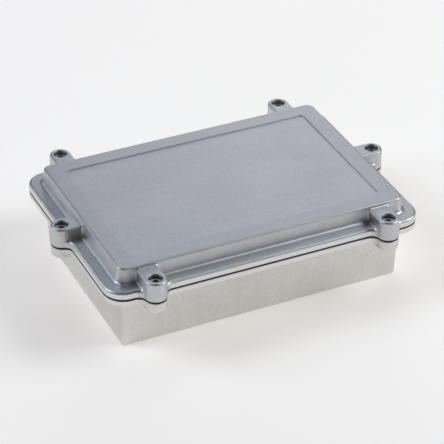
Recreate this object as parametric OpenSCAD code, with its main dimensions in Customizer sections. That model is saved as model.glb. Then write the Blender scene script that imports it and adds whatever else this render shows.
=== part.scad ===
// Sealed die cast box: tray, flat gasket and raised lid, held by six recessed
// socket head screws in lugs outside the seal. Millimetres. The origin is at
// the middle of the underside, X runs along the long sides, Z is up.

/* [Flange] */
// Length of the flange without the lugs
flange_l = 210; // [200:1:230]
// Width of the flange without the lugs
flange_w = 146.4; // [140:0.2:160]
// Corner radius of the flange
flange_r = 13; // [12:0.5:18]
// Thickness of the outward lip round the top of the base
lip_t = 3.6; // [3:0.1:5]
// Thickness of the lid's flange
lid_flange_t = 4.7; // [4.2:0.1:5.5]
// Rounding of the lid flange's upper edge
flange_edge_r = 2; // [1:0.1:2.5]

/* [Base] */
// Height of the base up to the gasket
base_h = 40.8; // [36:0.1:90]
// Length over the walls at the underside
base_l = 187.8; // [186:0.2:188]
// Width over the walls at the underside
base_w = 123.8; // [122:0.2:124]
// Corner radius of the walls at the underside
base_r = 3; // [2:0.5:6]
// Draft of the base walls in degrees
base_draft = 2; // [1:0.25:2]
// Wall and floor thickness of both castings
wall = 3; // [2.5:0.1:3.5]

/* [Gasket] */
// Thickness of the flat gasket
gasket_t = 1.4; // [1:0.1:2]
// Distance that the gasket stays back from the flange's outline
gasket_inset = 0.2; // [0:0.1:0.6]

/* [Lid] */
// Height of the raised panel's top above the lid's seating face
lid_h = 15.2; // [14.5:0.1:20]
// Length of the raised panel at its top
panel_l = 191.2; // [188:0.2:192]
// Width of the raised panel at its top
panel_w = 127; // [124:0.2:128]
// Corner radius of the raised panel at its top
panel_r = 5; // [4:0.5:7]
// Draft of the raised panel's wall in degrees
panel_draft = 6; // [4:0.5:7]
// Rounding of the raised panel's upper edge
panel_edge_r = 0.8; // [0.5:0.1:1.5]
// Length of the shallow recess in the raised panel
recess_l = 166.8; // [120:0.2:170]
// Width of the shallow recess in the raised panel
recess_w = 103.2; // [80:0.2:106]
// Depth of the shallow recess
recess_d = 0.6; // [0.3:0.1:1]

/* [Lugs] */
// Distance of the front and back lugs from the middle, along X
lug_x = 78; // [70:0.5:80]
// Distance of the front and back lugs' axes from the middle, along Y
lug_y = 76.3; // [75.5:0.1:77]
// Distance of the two end lugs' axes from the middle, along X
end_lug_x = 107.3; // [106.5:0.1:108]
// Radius of a lug
lug_r = 7; // [6.6:0.1:7.4]
// Radius of the blends between a lug and the flange's edge
lug_blend_r = 5.5; // [4:0.5:6]
// Height of the lug faces above the lid's seating face
lug_h = 12.8; // [12.4:0.1:13.4]
// Depth of the bosses below the top of the base
boss_h = 6.8; // [6.6:0.1:9]
// Rounding of the lugs' upper edge and of the bosses' lower edge
lug_edge_r = 1.4; // [0.6:0.1:1.6]

/* [Screws] */
// Screw size, the thread's outer diameter
screw_d = 4; // [4:4]
// Clearance hole in the lid and the gasket
clear_d = 4.5; // [4.4:0.1:4.8]
// Diameter of the counterbore for the screw head
bore_d = 8.6; // [8:0.1:9]
// Depth of the counterbore below the lug's face
bore_depth = 6.2; // [5.8:0.1:6.4]
// Diameter of the screw head
head_d = 7; // [7:7]
// Height of the screw head
head_h = 4; // [4:4]
// Width across the flats of the hexagon socket
socket_af = 3; // [3:3]
// Length of the screw under its head
screw_l = 12; // [12:12]

/* [Hidden] */
$fn = 64;
eps = 0.01;

fa = flange_l / 2;
fb = flange_w / 2;
z_lip = base_h - lip_t;
z_lid = base_h + gasket_t;
z_flange = z_lid + lid_flange_t;
z_top = z_lid + lid_h;
z_lug = z_lid + lug_h;
z_seat = z_lug - bore_depth;
z_head = z_seat + head_h;
z_tip = z_seat - screw_l;
bt = tan(base_draft);
pt = tan(panel_draft);
// half sizes of the raised panel where its wall meets the flange
pa0 = panel_l / 2 + (z_top - z_flange) * pt;
pb0 = panel_w / 2 + (z_top - z_flange) * pt;
pr0 = panel_r + (z_top - z_flange) * pt;
// lug axes as [x, y, direction in degrees]
side_lugs = [[-lug_x, -lug_y, 270], [lug_x, -lug_y, 270],
    [-lug_x, lug_y, 90], [lug_x, lug_y, 90]];
end_lugs = [[-end_lug_x, 0, 180], [end_lug_x, 0, 0]];
lugs = concat(side_lugs, end_lugs);

// rectangle with round corners, half sizes a and b
module round_rect(a, b, r) {
    square([2 * a, 2 * (b - r)], center = true);
    square([2 * (a - r), 2 * b], center = true);
    for (x = [-1, 1], y = [-1, 1])
        translate([x * (a - r), y * (b - r)]) circle(r);
}

// Block with round corners whose walls lean out by t per unit of height.
// Half sizes a and b and radius r hold at the bottom.
module leaning_block(a, b, r, h, t) {
    xa = a - r;
    yb = b - r;
    q = r + h * t;
    // long walls
    rotate([90, 0, 90]) translate([0, 0, -xa]) linear_extrude(2 * xa)
        polygon([[-yb - r, 0], [yb + r, 0], [yb + q, h], [-yb - q, h]]);
    // end walls
    rotate([90, 0, 0]) translate([0, 0, -yb]) linear_extrude(2 * yb)
        polygon([[-xa - r, 0], [xa + r, 0], [xa + q, h], [-xa - q, h]]);
    for (x = [-1, 1], y = [-1, 1])
        translate([x * xa, y * yb, 0]) cylinder(h = h, r1 = r, r2 = q);
}

// Block with round corners and a rounded upper edge e, half sizes a and b
module pillow_block(a, b, r, h, e) {
    linear_extrude(h - e) round_rect(a, b, r);
    linear_extrude(h) round_rect(a - e, b - e, r - e);
    for (y = [-1, 1]) translate([-(a - r), y * (b - e), h - e])
        rotate([0, 90, 0]) cylinder(h = 2 * (a - r), r = e, $fn = 32);
    for (x = [-1, 1]) translate([x * (a - e), b - r, h - e])
        rotate([90, 0, 0]) cylinder(h = 2 * (b - r), r = e, $fn = 32);
    for (x = [-1, 1], y = [-1, 1])
        translate([x * (a - r), y * (b - r), h - e])
            rotate_extrude() intersection() {
                translate([r - e, 0]) circle(e, $fn = 32);
                translate([0, -e]) square([r, 2 * e]);
            }
}

// Hollow blend that joins a lug at the origin, pointing along +X, to an edge
// that lies at x = -d, on both sides, for an outline drawn in by o. The
// blend's arc cuts 0.03 into the lug, so that the two meet in a clean corner.
module lug_blends(d, o) {
    f = lug_blend_r + o;
    e = -d - o;
    fx = e + f;
    fy = sqrt(pow(lug_r - o + f - 0.03, 2) - fx * fx);
    difference() {
        polygon([[e - 0.5, -fy], [fx, -fy], [0, 0], [fx, fy],
            [e - 0.5, fy]]);
        for (s = [-1, 1]) translate([fx, s * fy]) circle(f);
    }
}

// Outline shared by the lip, the gasket and the lid's flange, drawn in by o
module flange_outline(o = 0) {
    round_rect(fa - o, fb - o, flange_r - o);
    for (l = side_lugs) translate([l[0], l[1]]) rotate(l[2]) {
        circle(lug_r - o);
        lug_blends(lug_y - fb, o);
    }
    for (l = end_lugs) translate([l[0], l[1]]) rotate(l[2]) {
        circle(lug_r - o);
        lug_blends(end_lug_x - fa, o);
    }
}

// Round post with a rounded upper edge
module post(r, h, e) {
    cylinder(h = h - e, r = r);
    cylinder(h = h, r = r - e);
    translate([0, 0, h - e]) rotate_extrude() intersection() {
        translate([r - e, 0]) circle(e, $fn = 32);
        translate([0, -e]) square([r, 2 * e]);
    }
}

// Post with a neck of its own width that runs back along -X by n, both with
// a rounded upper edge
module necked_post(r, h, e, n) {
    post(r, h, e);
    translate([-n, -r, 0]) cube([n, 2 * r, h - e]);
    translate([-n, -(r - e), 0]) cube([n, 2 * (r - e), h]);
    for (s = [-1, 1]) translate([-n, s * (r - e), h - e])
        rotate([0, 90, 0]) cylinder(h = n, r = e, $fn = 32);
}

module base() {
    color([0.74, 0.74, 0.72]) difference() {
        union() {
            // drafted tray with a small chamfer round the underside
            leaning_block(base_l / 2 - 0.6, base_w / 2 - 0.6,
                base_r - 0.6, 0.6, 1);
            translate([0, 0, 0.6]) leaning_block(base_l / 2, base_w / 2,
                base_r, base_h - 0.6, bt);
            // outward lip that carries the gasket
            translate([0, 0, z_lip]) linear_extrude(lip_t) flange_outline();
            // bosses under the lugs, hung from the lip
            for (l = lugs) translate([l[0], l[1], base_h]) rotate(l[2])
                mirror([0, 0, 1])
                    necked_post(lug_r - 0.3, boss_h, lug_edge_r, 13.5);
        }
        // inside of the tray
        translate([0, 0, wall]) leaning_block(base_l / 2 - wall,
            base_w / 2 - wall, base_r, base_h - wall + eps, bt);
        // blind screw holes, modelled at the thread's outer size
        for (l = lugs) translate([l[0], l[1], base_h - boss_h + 1.4])
            cylinder(h = boss_h, d = screw_d + 0.1);
    }
}

module gasket() {
    color([0.06, 0.06, 0.06]) translate([0, 0, base_h]) difference() {
        linear_extrude(gasket_t) flange_outline(gasket_inset);
        translate([0, 0, -1]) linear_extrude(gasket_t + 2)
            round_rect(base_l / 2 - wall + base_h * bt,
                base_w / 2 - wall + base_h * bt, base_r + 2);
        for (l = lugs) translate([l[0], l[1], -1])
            cylinder(h = gasket_t + 2, d = clear_d);
    }
}

module lid() {
    color([0.62, 0.64, 0.67]) difference() {
        union() {
            // flange with its rounded upper edge
            translate([0, 0, z_lid]) {
                linear_extrude(lid_flange_t - flange_edge_r) flange_outline();
                pillow_block(fa, fb, flange_r, lid_flange_t, flange_edge_r);
                linear_extrude(lid_flange_t)
                    flange_outline(flange_edge_r * 0.6);
            }
            // raised panel, its drafted wall and its rounded upper edge
            translate([0, 0, z_flange]) leaning_block(pa0, pb0, pr0,
                z_top - z_flange - panel_edge_r, -pt);
            translate([0, 0, z_top - 2 * panel_edge_r])
                pillow_block(panel_l / 2, panel_w / 2, panel_r,
                    2 * panel_edge_r, panel_edge_r);
            // screw lugs, each running back into the panel's wall
            for (l = lugs) translate([l[0], l[1], z_lid]) rotate(l[2])
                necked_post(lug_r - 0.15, lug_h, lug_edge_r, 13.5);
        }
        // shallow recess on top
        translate([0, 0, z_top - recess_d]) linear_extrude(recess_d + 1)
            round_rect(recess_l / 2, recess_w / 2, 2.5);
        // hollow underside
        translate([0, 0, z_lid - eps]) leaning_block(
            panel_l / 2 - wall + 1.4, panel_w / 2 - wall + 1.4, panel_r,
            lid_h - recess_d - 2.6, -pt / 1.5);
        // screw holes with their counterbores
        for (l = lugs) translate([l[0], l[1], 0]) {
            translate([0, 0, z_lid - 1]) cylinder(h = lug_h, d = clear_d);
            translate([0, 0, z_seat])
                cylinder(h = bore_depth + 1, d = bore_d);
        }
    }
}

// Socket head cap screw, seated in a counterbore, its axis at the origin
module screw() {
    color([0.55, 0.56, 0.58]) difference() {
        union() {
            translate([0, 0, z_seat]) cylinder(h = head_h - 0.4, d = head_d);
            translate([0, 0, z_head - 0.4])
                cylinder(h = 0.4, d1 = head_d, d2 = head_d - 0.8);
            translate([0, 0, z_tip + 0.5])
                cylinder(h = screw_l - 0.5, d = screw_d);
            translate([0, 0, z_tip])
                cylinder(h = 0.5, d1 = screw_d - 1, d2 = screw_d);
        }
        translate([0, 0, z_head - 2])
            cylinder(h = 3, d = socket_af / cos(30), $fn = 6);
    }
}

module lid_screw_front_left() { translate([-lug_x, -lug_y, 0]) screw(); }
module lid_screw_front_right() { translate([lug_x, -lug_y, 0]) screw(); }
module lid_screw_back_left() { translate([-lug_x, lug_y, 0]) screw(); }
module lid_screw_back_right() { translate([lug_x, lug_y, 0]) screw(); }
module lid_screw_left() { translate([-end_lug_x, 0, 0]) screw(); }
module lid_screw_right() { translate([end_lug_x, 0, 0]) screw(); }

base();
gasket();
lid();
lid_screw_front_left();
lid_screw_front_right();
lid_screw_back_left();
lid_screw_back_right();
lid_screw_left();
lid_screw_right();
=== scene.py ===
import math

import bmesh
import bpy
import numpy as np
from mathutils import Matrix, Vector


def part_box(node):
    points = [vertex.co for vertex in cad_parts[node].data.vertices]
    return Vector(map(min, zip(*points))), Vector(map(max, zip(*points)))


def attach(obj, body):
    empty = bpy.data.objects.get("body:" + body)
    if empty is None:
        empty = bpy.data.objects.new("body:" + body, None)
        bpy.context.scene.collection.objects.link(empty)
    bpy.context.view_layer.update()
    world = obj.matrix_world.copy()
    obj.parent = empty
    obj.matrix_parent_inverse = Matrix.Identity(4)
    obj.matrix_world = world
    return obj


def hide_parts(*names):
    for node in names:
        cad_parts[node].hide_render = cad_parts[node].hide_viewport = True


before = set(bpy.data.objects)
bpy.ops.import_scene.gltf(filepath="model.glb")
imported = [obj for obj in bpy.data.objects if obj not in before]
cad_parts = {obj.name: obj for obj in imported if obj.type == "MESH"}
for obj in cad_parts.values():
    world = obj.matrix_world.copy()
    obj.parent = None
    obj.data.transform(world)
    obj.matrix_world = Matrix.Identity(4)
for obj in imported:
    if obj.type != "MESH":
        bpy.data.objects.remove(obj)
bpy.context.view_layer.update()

SCENE = bpy.context.scene

# ---------------------------------------------------------------------------
# Sizes in millimetres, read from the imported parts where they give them.
# ---------------------------------------------------------------------------
lo, hi = [np.array(v) * 1000 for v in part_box("lid")]
b_lo, b_hi = [np.array(v) * 1000 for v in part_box("base")]
g_lo, g_hi = [np.array(v) * 1000 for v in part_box("gasket")]
Z_LID, Z_TOP = lo[2], hi[2]
Z_BASE = b_hi[2]
Z_FLANGE = Z_LID + 4.7
Z_LUG = Z_LID + 12.8
Z_SEAT = Z_LUG - 6.2
Z_LIP = Z_BASE - 3.6
Z_BOSS = Z_BASE - 6.8
SCREWS = ["lid_screw_front_left", "lid_screw_front_right", "lid_screw_back_left",
          "lid_screw_back_right", "lid_screw_left", "lid_screw_right"]
AXES = {}
for name in SCREWS:
    s_lo, s_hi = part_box(name)
    AXES[name] = (np.array(s_lo) + np.array(s_hi)) * 500
SIDE = np.abs(AXES["lid_screw_front_left"][:2])
END = abs(AXES["lid_screw_right"][0])
LUG_R = hi[0] - END - 0.0
FA, FB, FR = 105.0, 73.2, 13.0
BLEND = 5.5
TD = math.tan(math.radians(2.0))
TP = math.tan(math.radians(6.0))
CP = math.cos(math.radians(6.0))


# ---------------------------------------------------------------------------
# Distance fields. Every casting is symmetric, so x and y come in as absolute
# values.
# ---------------------------------------------------------------------------
def rrect(x, y, a, b, r):
    qx, qy = x - (a - r), y - (b - r)
    return np.minimum(np.maximum(qx, qy), 0) + np.hypot(
        np.maximum(qx, 0), np.maximum(qy, 0)) - r


def u_round(a, b, r):
    return np.maximum(r, np.minimum(a, b)) - np.hypot(
        np.maximum(r - a, 0), np.maximum(r - b, 0))


def i_round(a, b, r):
    return np.minimum(-r, np.maximum(a, b)) + np.hypot(
        np.maximum(r + a, 0), np.maximum(r + b, 0))


def blended(d, u, v, edge, r, f):
    """Adds to d the round lug at u = v = 0 and its two hollow blends of
    radius f to a straight edge at u = -edge. v is an absolute value."""
    d = np.minimum(d, np.hypot(u, v) - r)
    cu = f - edge
    cv = math.sqrt((r + f) ** 2 - cu * cu)
    pu, pv = u - cu, v - cv
    # the sector seen from the blend's centre, between the way to the edge
    # and the way to the lug's axis
    inside = (pv < 0) & (pu * cv - pv * cu < 0)
    return np.where(inside, np.minimum(d, f - np.hypot(pu, pv)), d)


def outline(x, y, o=0.0):
    d = rrect(x, y, FA - o, FB - o, FR - o)
    d = blended(d, y - SIDE[1], np.abs(x - SIDE[0]), SIDE[1] - FB + o,
                LUG_R - o, BLEND + o)
    return blended(d, x - END, y, END - FA + o, LUG_R - o, BLEND + o)


def lug_frames(x, y):
    """Place in the frame of a side lug and of an end lug: along its neck,
    outwards, and across."""
    return (y - SIDE[1], np.abs(x - SIDE[0])), (x - END, y)


def lug_dist(x, y, r):
    """Distance to the nearer of the lug columns, each with a neck that runs
    back into the panel."""
    out = None
    for u, v in lug_frames(x, y):
        d = np.where(u > 0, np.hypot(u, v), np.maximum(v, -u - 24)) - r
        out = d if out is None else np.minimum(out, d)
    return out


def lug_fillet(x, y, r):
    """Radius of the fillet between a lug and what it stands on: full at its
    neck, and next to nothing round its outer half."""
    (u, v), (p, q) = lug_frames(x, y)
    h, k = np.hypot(u, v), np.hypot(p, q)
    c = np.where(h < k, u / np.maximum(h, 1e-6), p / np.maximum(k, 1e-6))
    w = np.clip((0.22 - c) / 0.3, 0, 1)
    return 0.12 + (r - 0.12) * w * w * (3 - 2 * w)


def axis_dist(x, y):
    return np.minimum(np.hypot(x - SIDE[0], y - SIDE[1]), np.hypot(x - END, y))


def f_lid(x, y, z):
    x, y = np.abs(x), np.abs(y)
    ax = axis_dist(x, y)
    out = outline(x, y)
    # flange with a rounded upper edge
    d = i_round(out, z - Z_FLANGE, 1.8)
    # raised panel
    t = (Z_TOP - z) * TP
    panel = i_round(rrect(x, y, 95.6 + t, 63.5 + t, 5.0 + t) * CP, z - Z_TOP,
                    1.2)
    d = u_round(d, panel, 2.1)
    # lugs
    lug = i_round(lug_dist(x, y, LUG_R - (z - Z_LID) * 0.012),
                  z - Z_LUG, 1.4)
    d = u_round(d, lug, lug_fillet(x, y, 1.5))
    # recess
    rec = i_round(rrect(x, y, 84.0 + (z - Z_TOP) * 0.25,
                        52.3 + (z - Z_TOP) * 0.25, 2.5), Z_TOP - 0.7 - z, 0.15)
    d = i_round(d, -rec, 0.2)
    # counterbores and screw holes
    d = i_round(d, -np.maximum(ax - 4.3, Z_SEAT - z), 0.35)
    d = np.maximum(d, 2.25 - ax)
    # hollow underside
    t = (z - Z_LID) * 0.07
    hol = i_round(rrect(x, y, 94.0 - t, 61.9 - t, 5.0 - t), z - Z_LID - 12.0,
                  1.5)
    d = np.maximum(np.maximum(d, -hol), out)
    return i_round(d, Z_LID - z, 0.2)


def f_base(x, y, z):
    x, y = np.abs(x), np.abs(y)
    ax = axis_dist(x, y)
    out = outline(x, y)
    t = z * TD
    tray = i_round(rrect(x, y, 93.9 + t, 61.9 + t, 3.0 + t), -z, 0.8)
    lip = i_round(out, Z_LIP - z, 0.7)
    d = u_round(tray, lip, 1.5)
    boss = i_round(lug_dist(x, y, LUG_R - 0.03), Z_BOSS - z, 1.4)
    d = u_round(d, boss, lug_fillet(x, y, 1.2))
    t = (z - 3.0) * TD
    inner = i_round(rrect(x, y, 90.9 + t, 58.9 + t, 3.0 + t), 3.0 - z, 2.0)
    d = np.maximum(np.maximum(d, -inner), out)
    hole = np.maximum(ax - 2.05 - np.maximum(0, z - Z_BASE + 0.4),
                      Z_BASE - 5.4 - z)
    d = np.maximum(d, -hole)
    return i_round(d, z - Z_BASE, 0.2)


def f_gasket(x, y, z):
    x, y = np.abs(x), np.abs(y)
    d = outline(x, y, 0.2)
    d = np.maximum(d, -rrect(x, y, 92.3, 60.3, 5.0))
    d = np.maximum(d, 2.25 - axis_dist(x, y))
    mid = (g_lo[2] + g_hi[2]) / 2
    return i_round(d, np.abs(z - mid) - (g_hi[2] - g_lo[2]) / 2, 0.3)


# ---------------------------------------------------------------------------
# Meshing: surface nets on a grid whose lines are close only where the shape
# needs them, then a projection onto the exact surface.
# ---------------------------------------------------------------------------
def lines(*spans):
    """Grid lines from (start, end, step) spans that follow each other."""
    out = []
    for a, b, s in spans:
        n = max(1, int(round((b - a) / s)))
        out.extend(a + (b - a) * np.arange(n) / n)
    out.append(spans[-1][1])
    return np.array(out)


def both_ways(half):
    return np.concatenate([-half[::-1], half[1:]])


def gradient(f, p, h=1e-4):
    g = np.empty_like(p)
    for a in range(3):
        q, w = p.copy(), p.copy()
        q[:, a] += h
        w[:, a] -= h
        g[:, a] = (f(*q.T) - f(*w.T)) / (2 * h)
    return g


def nets(f, xs, ys, zs):
    """Vertices and quads of the surface f = 0."""
    nx, ny, nz = len(xs), len(ys), len(zs)
    val = np.empty((nx, ny, nz))
    for k, z in enumerate(zs):
        val[:, :, k] = f(xs[:, None], ys[None, :], z)
    neg = val < 0
    n8 = np.zeros((nx - 1, ny - 1, nz - 1), np.int8)
    for i in (0, 1):
        for j in (0, 1):
            for k in (0, 1):
                n8 += neg[i:nx - 1 + i, j:ny - 1 + j, k:nz - 1 + k]
    live = (n8 > 0) & (n8 < 8)
    index = np.full(live.shape, -1, np.int64)
    index[live] = np.arange(live.sum())
    count = int(live.sum())
    total, hits = np.zeros((count, 3)), np.zeros(count)
    axes = (xs, ys, zs)
    quads = []
    for a in range(3):
        b, c = (a + 1) % 3, (a + 2) % 3
        cut = [slice(None)] * 3
        cut[a] = slice(0, -1)
        nxt = [slice(None)] * 3
        nxt[a] = slice(1, None)
        change = neg[tuple(cut)] != neg[tuple(nxt)]
        e = np.argwhere(change)
        e1 = e.copy()
        e1[:, a] += 1
        va, vb = val[tuple(e.T)], val[tuple(e1.T)]
        t = va / (va - vb)
        pos = np.stack([axes[i][e[:, i]] for i in range(3)], 1).astype(float)
        step = axes[a][e1[:, a]] - axes[a][e[:, a]]
        pos[:, a] += t * step
        four = []
        for db, dc in ((-1, -1), (0, -1), (0, 0), (-1, 0)):
            cell = e.copy()
            cell[:, b] += db
            cell[:, c] += dc
            four.append(index[tuple(cell.T)])
        four = np.stack(four, 1)
        for q in range(4):
            for i in range(3):
                total[:, i] += np.bincount(four[:, q], pos[:, i], count)
            hits += np.bincount(four[:, q], minlength=count)
        flip = ~neg[tuple(e.T)]
        four[flip] = four[flip][:, ::-1]
        quads.append(four)
    p = total / hits[:, None]
    quads = np.concatenate(quads)
    # room for each vertex to move: the size of its cell
    cells = np.argwhere(live)
    size = np.min([np.diff(axes[i])[cells[:, i]] for i in range(3)], axis=0)
    for _ in range(6):
        g = gradient(f, p)
        n2 = np.maximum((g * g).sum(1), 0.05)
        move = -f(*p.T)[:, None] * g / n2[:, None]
        far = np.linalg.norm(move, axis=1)
        move *= np.minimum(1, 0.7 * size / np.maximum(far, 1e-9))[:, None]
        p = p + move
    return p, quads


def mesh_object(name, f, xs, ys, zs, dissolve=0.4):
    """A closed mesh of f, its flat regions merged into single faces, with
    normals taken from f itself."""
    p, quads = nets(f, xs, ys, zs)
    mesh = bpy.data.meshes.new(name)
    mesh.from_pydata(p * 0.001, [], quads.tolist())
    # flats merge within tiles of 12 mm, so that no face grows unwieldy
    tile = np.floor(p[quads].mean(1) / 12.0 + 0.013).astype(np.int64)
    tile = (tile[:, 0] * 1000 + tile[:, 1]) * 1000 + tile[:, 2]
    edge = np.empty(len(mesh.loops), np.int64)
    mesh.loops.foreach_get("edge_index", edge)
    order = np.argsort(edge, kind="stable")
    pair = tile[order // 4].reshape(-1, 2)
    mesh.edges.foreach_set("use_seam", pair[:, 0] != pair[:, 1])
    bm = bmesh.new()
    bm.from_mesh(mesh)
    bmesh.ops.dissolve_limit(
        bm, angle_limit=math.radians(dissolve), use_dissolve_boundaries=False,
        verts=bm.verts, edges=bm.edges, delimit={"SEAM"})
    bmesh.ops.triangulate(bm, faces=[g for g in bm.faces if len(g.verts) > 4])
    bm.to_mesh(mesh)
    bm.free()
    mesh.update()
    count = len(mesh.vertices)
    co = np.empty(count * 3)
    mesh.vertices.foreach_get("co", co)
    co = co.reshape(-1, 3) * 1000
    g = gradient(f, co, 2e-3)
    g /= np.maximum(np.linalg.norm(g, axis=1), 1e-9)[:, None]
    loops = np.empty(len(mesh.loops), np.int64)
    mesh.loops.foreach_get("vertex_index", loops)
    fn = np.empty(len(mesh.polygons) * 3)
    mesh.polygons.foreach_get("normal", fn)
    fn = fn.reshape(-1, 3)
    sides = np.empty(len(mesh.polygons), np.int64)
    mesh.polygons.foreach_get("loop_total", sides)
    face = np.repeat(np.arange(len(sides)), sides)
    normal = g[loops]
    face_normal = fn[face]
    # where a corner's own direction differs little or very much from its
    # face's, as on flats and at sharp edges, the face's is used
    dot = (normal * face_normal).sum(1)
    area = np.empty(len(sides))
    mesh.polygons.foreach_get("area", area)
    big = (area[face] > 1.2e-6) & (dot > 0.97)
    use_face = big | (dot < 0.6)
    normal[use_face] = face_normal[use_face]
    mesh.polygons.foreach_set("use_smooth", np.ones(len(sides), bool))
    mesh.normals_split_custom_set(normal.tolist())
    obj = bpy.data.objects.new(name, mesh)
    SCENE.collection.objects.link(obj)
    return obj


# ---------------------------------------------------------------------------
# The pieces
# ---------------------------------------------------------------------------
X_HALF = lines((0, 60, 4), (60, 64, 1), (64, 83.0, 0.5), (83.0, 84.6, 0.16),
               (84.6, 92.4, 0.5), (92.4, 114.6, 0.42))
Y_HALF = lines((0, 14.4, 0.5), (14.4, 49.0, 4), (49.0, 51.2, 0.6),
               (51.2, 52.8, 0.16), (52.8, 58.2, 1), (58.2, 83.6, 0.42))
XS, YS = both_ways(X_HALF), both_ways(Y_HALF)
lid = mesh_object("lid_casting", f_lid, XS, YS, Z_LID + lines(
    (-0.3, 0.3, 0.15), (0.3, 2.7, 0.6), (2.7, 7.2, 0.3), (7.2, 10.2, 0.6),
    (10.2, 15.5, 0.22)))
X_HALF = lines((0, 60, 4), (60, 64, 1), (64, 90, 0.5), (90, 98, 0.42),
               (98, 114.6, 0.5))
Y_HALF = lines((0, 14.4, 0.5), (14.4, 54.4, 5), (54.4, 58, 0.9),
               (58, 66, 0.42), (66, 83.6, 0.5))
BX, BY = both_ways(X_HALF), both_ways(Y_HALF)
base = mesh_object("base_casting", f_base, BX, BY, lines(
    (-0.2, 1.4, 0.2), (1.4, 5.6, 0.42), (5.6, 33.4, 3.5), (33.4, 38.6, 0.35),
    (38.6, 40.4, 0.6), (40.4, 41.2, 0.13)))
gasket = mesh_object("gasket_seal", f_gasket, BX, BY, lines(
    (40.6, 41.3, 0.14), (41.3, 41.7, 0.4), (41.7, 42.4, 0.14)))
for o in (lid, base, gasket):
    o.data.update()
    print(o.name, len(o.data.vertices), len(o.data.polygons),
          sum(len(f.vertices) - 2 for f in o.data.polygons))
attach(lid, "lid")
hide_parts("lid")
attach(base, "base")
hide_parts("base")
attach(gasket, "base")
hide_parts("gasket")


def ring_solid(name, rings):
    """A closed mesh from rings of equal length, with a point at each end."""
    n = len(rings[0])
    verts = [tuple(np.mean(rings[0], 0))]
    for r in rings:
        verts.extend(map(tuple, r))
    verts.append(tuple(np.mean(rings[-1], 0)))
    last = len(verts) - 1
    faces = []
    for i in range(n):
        j = (i + 1) % n
        faces.append((0, 1 + j, 1 + i))
        for k in range(len(rings) - 1):
            a, b = 1 + k * n, 1 + (k + 1) * n
            faces.append((a + i, a + j, b + j, b + i))
        a = 1 + (len(rings) - 1) * n
        faces.append((last, a + i, a + j))
    mesh = bpy.data.meshes.new(name)
    mesh.from_pydata([tuple(c * 0.001 for c in v) for v in verts], [], faces)
    mesh.update()
    mesh.polygons.foreach_set("use_smooth", np.ones(len(faces), bool))
    mesh.set_sharp_from_angle(angle=math.radians(32))
    return mesh


def screw_mesh():
    """M4 x 12 socket head cap screw, its axis at the origin and its seat at
    z = 0, with a knurled head and a real thread."""
    n = 48
    th = np.arange(n) * 2 * math.pi / n
    cs = np.stack([np.cos(th), np.sin(th)], 1)

    def ring(r, z):
        return np.column_stack([cs * np.reshape(r, (-1, 1)),
                                np.full(n, z)])

    rings = [ring(1.0, -12.0)]
    pitch, crest, root = 0.7, 1.985, 1.56
    for z in np.arange(-12.0, -0.45, 0.07):
        ph = ((z / pitch - th / (2 * math.pi)) % 1.0)
        saw = np.clip(np.abs(ph - 0.5) * 2 / 0.8 - 0.1, 0, 1)
        r = crest - (crest - root) * saw
        r = np.minimum(r, 1.35 + (z + 12.0) * 1.0)
        fade = np.clip((z + 1.0) / 0.5, 0, 1)
        rings.append(ring(r + (crest - r) * fade, z))
    rings += [ring(1.985, -0.3), ring(2.02, -0.02), ring(3.1, 0.0)]
    teeth = 3.5 - 0.11 * (0.5 + 0.5 * np.cos(th * 24))
    rings += [ring(3.38, 0.12)]
    for z in (0.4, 3.3):
        rings.append(ring(teeth, z))
    for a in (0.0, 0.25, 0.5, 0.75, 1.0):
        b = a * math.pi / 2
        rings.append(ring(3.05 + 0.42 * math.cos(b), 3.56 + 0.42 * math.sin(b)))
    hexr = 1.5 / np.cos((th + math.pi / 6) % (math.pi / 3) - math.pi / 6)
    rings += [ring(1.95, 3.99), ring(hexr + 0.1, 3.97), ring(hexr, 3.8),
              ring(hexr, 2.05), ring(hexr * 0.93, 1.98), ring(0.5, 1.75)]
    return ring_solid("cap_screw", rings)


cap = screw_mesh()
screws = []
for i, name in enumerate(SCREWS):
    o = bpy.data.objects.new("cap_" + name, cap)
    SCENE.collection.objects.link(o)
    o.location = (AXES[name][0] * 0.001, AXES[name][1] * 0.001, Z_SEAT * 0.001)
    o.rotation_euler = (0, 0, 0.37 + 1.13 * i)
    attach(o, "lid")
    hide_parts(name)
    screws.append(o)


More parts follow.
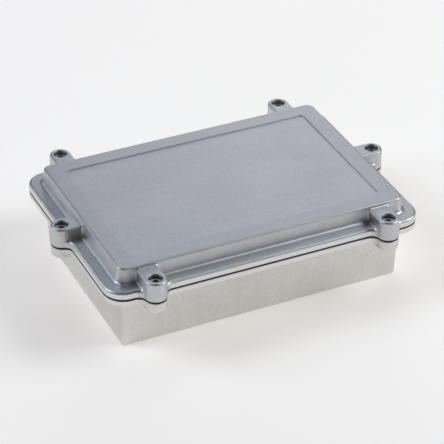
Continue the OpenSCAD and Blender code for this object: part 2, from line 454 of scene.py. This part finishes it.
# ---------------------------------------------------------------------------
# Materials
# ---------------------------------------------------------------------------
class Nodes:
    def __init__(self, name):
        self.mat = bpy.data.materials.new(name)
        self.mat.use_nodes = True
        self.nt = self.mat.node_tree
        self.nt.nodes.clear()
        self.out = self.nt.nodes.new("ShaderNodeOutputMaterial")
        self.bsdf = self.nt.nodes.new("ShaderNodeBsdfPrincipled")
        self.link(self.bsdf.outputs[0], self.out.inputs[0])
        where = self.nt.nodes.new("ShaderNodeTexCoord")
        self.pos, self.normal = where.outputs["Object"], where.outputs["Normal"]

    def link(self, a, b):
        self.nt.links.new(a, b)

    def put(self, socket, value):
        if isinstance(value, bpy.types.NodeSocket):
            self.link(value, socket)
        else:
            socket.default_value = value

    def math(self, op, a, b=0.0, c=0.0, clamp=False):
        m = self.nt.nodes.new("ShaderNodeMath")
        m.operation = op
        m.use_clamp = clamp
        for s, v in zip(m.inputs, (a, b, c)):
            self.put(s, v)
        return m.outputs[0]

    def scaled(self, scale):
        m = self.nt.nodes.new("ShaderNodeMapping")
        self.link(self.pos, m.inputs["Vector"])
        m.inputs["Scale"].default_value = scale
        return m.outputs[0]

    def noise(self, scale, detail=2.0, rough=0.5, vec=None, distort=0.0):
        m = self.nt.nodes.new("ShaderNodeTexNoise")
        self.link(vec or self.pos, m.inputs["Vector"])
        m.inputs["Scale"].default_value = scale
        m.inputs["Detail"].default_value = detail
        m.inputs["Roughness"].default_value = rough
        m.inputs["Distortion"].default_value = distort
        return m.outputs["Fac"]

    def ramp(self, fac, stops):
        m = self.nt.nodes.new("ShaderNodeValToRGB")
        self.link(fac, m.inputs[0])
        e = m.color_ramp.elements
        while len(e) < len(stops):
            e.new(0.5)
        for el, (pos, col) in zip(e, stops):
            el.position = pos
            el.color = (*col, 1) if len(col) == 3 else col
        return m.outputs[0]

    def range(self, v, a, b, c, d):
        m = self.nt.nodes.new("ShaderNodeMapRange")
        for s, x in zip(m.inputs, (v, a, b, c, d)):
            self.put(s, x)
        return m.outputs[0]

    def mix(self, fac, a, b, kind="MIX"):
        m = self.nt.nodes.new("ShaderNodeMix")
        m.data_type = "RGBA"
        m.blend_type = kind
        self.put(m.inputs["Factor"], fac)
        self.put(m.inputs[6], a if not isinstance(a, tuple) else (*a, 1))
        self.put(m.inputs[7], b if not isinstance(b, tuple) else (*b, 1))
        return m.outputs[2]

    def bump(self, height, strength, distance, normal=None):
        m = self.nt.nodes.new("ShaderNodeBump")
        m.inputs["Strength"].default_value = strength
        m.inputs["Distance"].default_value = distance
        self.link(height, m.inputs["Height"])
        if normal is not None:
            self.link(normal, m.inputs["Normal"])
        return m.outputs[0]


def cast_metal(name, light, dark, warm, warm_amount, rough, band, recess=None):
    """Die cast metal: a fine mottle and specks, draw marks down the walls,
    and a brighter band round the outline between the heights in band."""
    n = Nodes(name)
    # cloudy tone from the die, mostly a fine mottle
    cloud = n.noise(22, 3, 0.5)
    mottle = n.noise(420, 3, 0.62)
    flow = n.noise(1, 3, 0.55, n.scaled((22, 150, 22)), 0.3)
    tone = n.math("ADD", n.math("MULTIPLY", cloud, 0.26),
                  n.math("ADD", n.math("MULTIPLY", mottle, 0.52),
                         n.math("MULTIPLY", flow, 0.22)))
    # draw marks, only on what stands upright
    split = n.nt.nodes.new("ShaderNodeSeparateXYZ")
    n.link(n.normal, split.inputs[0])
    upright = n.range(n.math("ABSOLUTE", split.outputs[2]), 0.25, 0.55, 1, 0)
    drawn = n.noise(1, 3, 0.6, n.scaled((520, 520, 34)))
    tone = n.math("ADD", tone, n.math("MULTIPLY", upright, n.range(
        drawn, 0.3, 0.7, -0.055, 0.055)))
    col = n.mix(n.range(tone, 0.34, 0.66, 0, 1), dark, light)
    stain = n.noise(46, 2, 0.5, n.scaled((1, 1, 1.3)), 0.6)
    col = n.mix(n.range(stain, 0.6, 0.78, 0, warm_amount), col, warm)
    # small dark specks
    speck = n.noise(760, 2, 0.55)
    gate = n.noise(60, 2, 0.5)
    spot = n.math("MULTIPLY", n.range(speck, 0.63, 0.73, 0, 1),
                  n.range(gate, 0.40, 0.60, 0.2, 1))
    col = n.mix(n.math("MULTIPLY", spot, 0.45), col,
                (dark[0] * 0.5, dark[1] * 0.5, dark[2] * 0.5))
    # the outline faces between the heights in band are made brighter, where the
    # outline is straight or turns outwards
    at = n.nt.nodes.new("ShaderNodeSeparateXYZ")
    n.link(n.pos, at.inputs[0])
    qx = n.math("MAXIMUM", n.math("SUBTRACT", n.math(
        "ABSOLUTE", at.outputs[0]), (FA - FR) * 0.001), 0.0)
    qy = n.math("MAXIMUM", n.math("SUBTRACT", n.math(
        "ABSOLUTE", at.outputs[1]), (FB - FR) * 0.001), 0.0)
    d = n.math("SUBTRACT", n.math("SQRT", n.math("ADD", n.math(
        "MULTIPLY", qx, qx), n.math("MULTIPLY", qy, qy))), FR * 0.001)
    near = n.range(n.math("ABSOLUTE", d), 0.00022, 0.00042, 1, 0)
    low = n.range(at.outputs[2], (band[0] - 0.15) * 0.001,
                  (band[0] + 0.15) * 0.001, 0, 1)
    high = n.range(at.outputs[2], (band[1] - 0.15) * 0.001,
                   (band[1] + 0.15) * 0.001, 1, 0)
    outline_band = n.math("MULTIPLY", near, n.math("MULTIPLY", low, high))
    col = n.mix(n.math("MULTIPLY", outline_band, 0.85), col, OUTLINE_BAND_COLOUR)
    if recess:
        # the recess is a little brighter than its border
        ex = n.range(n.math("ABSOLUTE", at.outputs[0]),
                     (recess[0] - 0.8) * 0.001, recess[0] * 0.001, 1, 0)
        ey = n.range(n.math("ABSOLUTE", at.outputs[1]),
                     (recess[1] - 0.8) * 0.001, recess[1] * 0.001, 1, 0)
        dull = n.math("MULTIPLY", n.range(at.outputs[2], (Z_TOP - 1.3) * 0.001,
                                          (Z_TOP - 1.0) * 0.001, 0, 1),
                      n.math("SUBTRACT", 1.0, n.math("MULTIPLY", ex, ey)))
        col = n.mix(n.math("MULTIPLY", dull, 0.12), col, (0.30, 0.31, 0.33))
    n.link(col, n.bsdf.inputs["Base Color"])
    n.bsdf.inputs["Metallic"].default_value = 1.0
    r = n.math("ADD", n.range(mottle, 0.3, 0.7, rough - 0.05, rough + 0.06),
               n.math("MULTIPLY", spot, 0.12))
    n.link(r, n.bsdf.inputs["Roughness"])
    # a pebbly skin and very shallow waves
    fine = n.noise(1100, 3, 0.6)
    wave = n.noise(60, 2, 0.5)
    b = n.bump(wave, 0.06, 0.0006)
    b = n.bump(fine, 0.25, 0.0001, b)
    n.link(b, n.bsdf.inputs["Normal"])
    return n.mat


# colour of the brighter band round the outline faces
OUTLINE_BAND_COLOUR = (0.80, 0.80, 0.79)
lid_mat = cast_metal("die_cast_lid", (0.66, 0.665, 0.685),
                     (0.54, 0.545, 0.565), (0.62, 0.60, 0.57), 0.15, 0.46,
                     (Z_LID + 0.0, Z_FLANGE - 1.3), (84.0, 52.3))
base_mat = cast_metal("die_cast_base", (0.78, 0.78, 0.76),
                      (0.65, 0.65, 0.63), (0.74, 0.65, 0.59), 0.35, 0.46,
                      (Z_LIP + 0.5, Z_BASE))
lid.data.materials.append(lid_mat)
base.data.materials.append(base_mat)

n = Nodes("black_rubber")
grain = n.noise(1500, 2, 0.6)
n.link(n.mix(n.range(grain, 0.3, 0.7, 0, 1), (0.012, 0.012, 0.013),
             (0.03, 0.03, 0.031)), n.bsdf.inputs["Base Color"])
n.link(n.range(grain, 0.3, 0.7, 0.55, 0.75), n.bsdf.inputs["Roughness"])
n.link(n.bump(grain, 0.3, 0.0001), n.bsdf.inputs["Normal"])
gasket.data.materials.append(n.mat)

n = Nodes("plated_steel")
grain = n.noise(700, 2, 0.6)
n.link(n.mix(n.range(grain, 0.3, 0.7, 0, 1), (0.30, 0.30, 0.31),
             (0.42, 0.42, 0.43)), n.bsdf.inputs["Base Color"])
n.bsdf.inputs["Metallic"].default_value = 1.0
n.link(n.range(grain, 0.3, 0.7, 0.26, 0.38), n.bsdf.inputs["Roughness"])
n.link(n.bump(grain, 0.15, 0.00005), n.bsdf.inputs["Normal"])
cap.materials.append(n.mat)

# ---------------------------------------------------------------------------
# Floor, light and camera
# ---------------------------------------------------------------------------
mesh = bpy.data.meshes.new("floor")
mesh.from_pydata([(-6, -6, 0), (6, -6, 0), (6, 6, 0), (-6, 6, 0)], [],
                 [(0, 1, 2, 3)])
floor = bpy.data.objects.new("floor", mesh)
SCENE.collection.objects.link(floor)
n = Nodes("pale_floor")
n.bsdf.inputs["Base Color"].default_value = (0.93, 0.93, 0.93, 1)
n.bsdf.inputs["Roughness"].default_value = 0.9
n.bsdf.inputs["Specular IOR Level"].default_value = 0.0
n.bsdf.inputs["Emission Color"].default_value = (0.335, 0.295, 0.263, 1)
n.bsdf.inputs["Emission Strength"].default_value = 1.0
mesh.materials.append(n.mat)

world = bpy.data.worlds.new("studio")
SCENE.world = world
world.use_nodes = True
bg = world.node_tree.nodes["Background"]
bg.inputs["Color"].default_value = (0.03, 0.032, 0.036, 1)
bg.inputs["Strength"].default_value = 1.0


def softbox(name, place, aim, size, watts, colour=(1, 1, 1)):
    data = bpy.data.lights.new(name, "AREA")
    data.shape = "RECTANGLE"
    data.size, data.size_y = size
    data.energy = watts
    data.color = colour
    o = bpy.data.objects.new(name, data)
    SCENE.collection.objects.link(o)
    o.location = place
    from mathutils import Vector
    way = Vector(aim) - Vector(place)
    o.rotation_euler = way.to_track_quat("-Z", "Y").to_euler()
    return o


def around(name, azimuth, height, watts, colour):
    """A square softbox 1.8 m from the box. Azimuth 0 is in front, 90 right."""
    a, e = math.radians(azimuth), math.radians(height)
    softbox(name, (1.8 * math.sin(a) * math.cos(e),
                   -1.8 * math.cos(a) * math.cos(e), 1.8 * math.sin(e)),
            (0, 0, 0), (0.9, 0.9), watts, colour)


around("right", 65, 38, 16.0, (0.91, 0.97, 1.0))
around("left", 245, 38, 13.0, (0.82, 0.90, 1.0))
around("low_back", 155, 15, 3.8, (0.95, 0.93, 1.0))
around("back", 140, 38, 1.3, (0.97, 1.0, 0.98))
around("high_back", 155, 62, 2.7, (0.80, 0.91, 1.0))

CAM = (-25.386, 33.541, 0.458, -1.129, -22.539, -1358.723, 2117.17)
yaw, pitch, roll = [math.radians(v) for v in CAM[:3]]
back = np.array([math.sin(yaw) * math.cos(pitch),
                 -math.cos(yaw) * math.cos(pitch), math.sin(pitch)])
right = np.cross([0, 0, 1], back)
right /= np.linalg.norm(right)
up = np.cross(back, right)
right, up = (math.cos(roll) * right + math.sin(roll) * up,
             -math.sin(roll) * right + math.cos(roll) * up)
rot = np.array([right, up, back])
eye = -rot.T @ np.array(CAM[3:6]) * 0.001
from mathutils import Matrix
data = bpy.data.cameras.new("camera")
camera = bpy.data.objects.new("camera", data)
SCENE.collection.objects.link(camera)
m = Matrix.Identity(4)
for r in range(3):
    for c in range(3):
        m[r][c] = rot.T[r][c]
    m[r][3] = eye[r]
camera.matrix_world = m
data.sensor_fit = "HORIZONTAL"
data.sensor_width = 36.0
data.lens = CAM[6] * 36.0 / 444.0
data.clip_start, data.clip_end = 0.05, 50
SCENE.camera = camera

SCENE.view_settings.view_transform = "Standard"
SCENE.view_settings.look = "None"
SCENE.view_settings.exposure = 0.0
SCENE.view_settings.gamma = 1.0
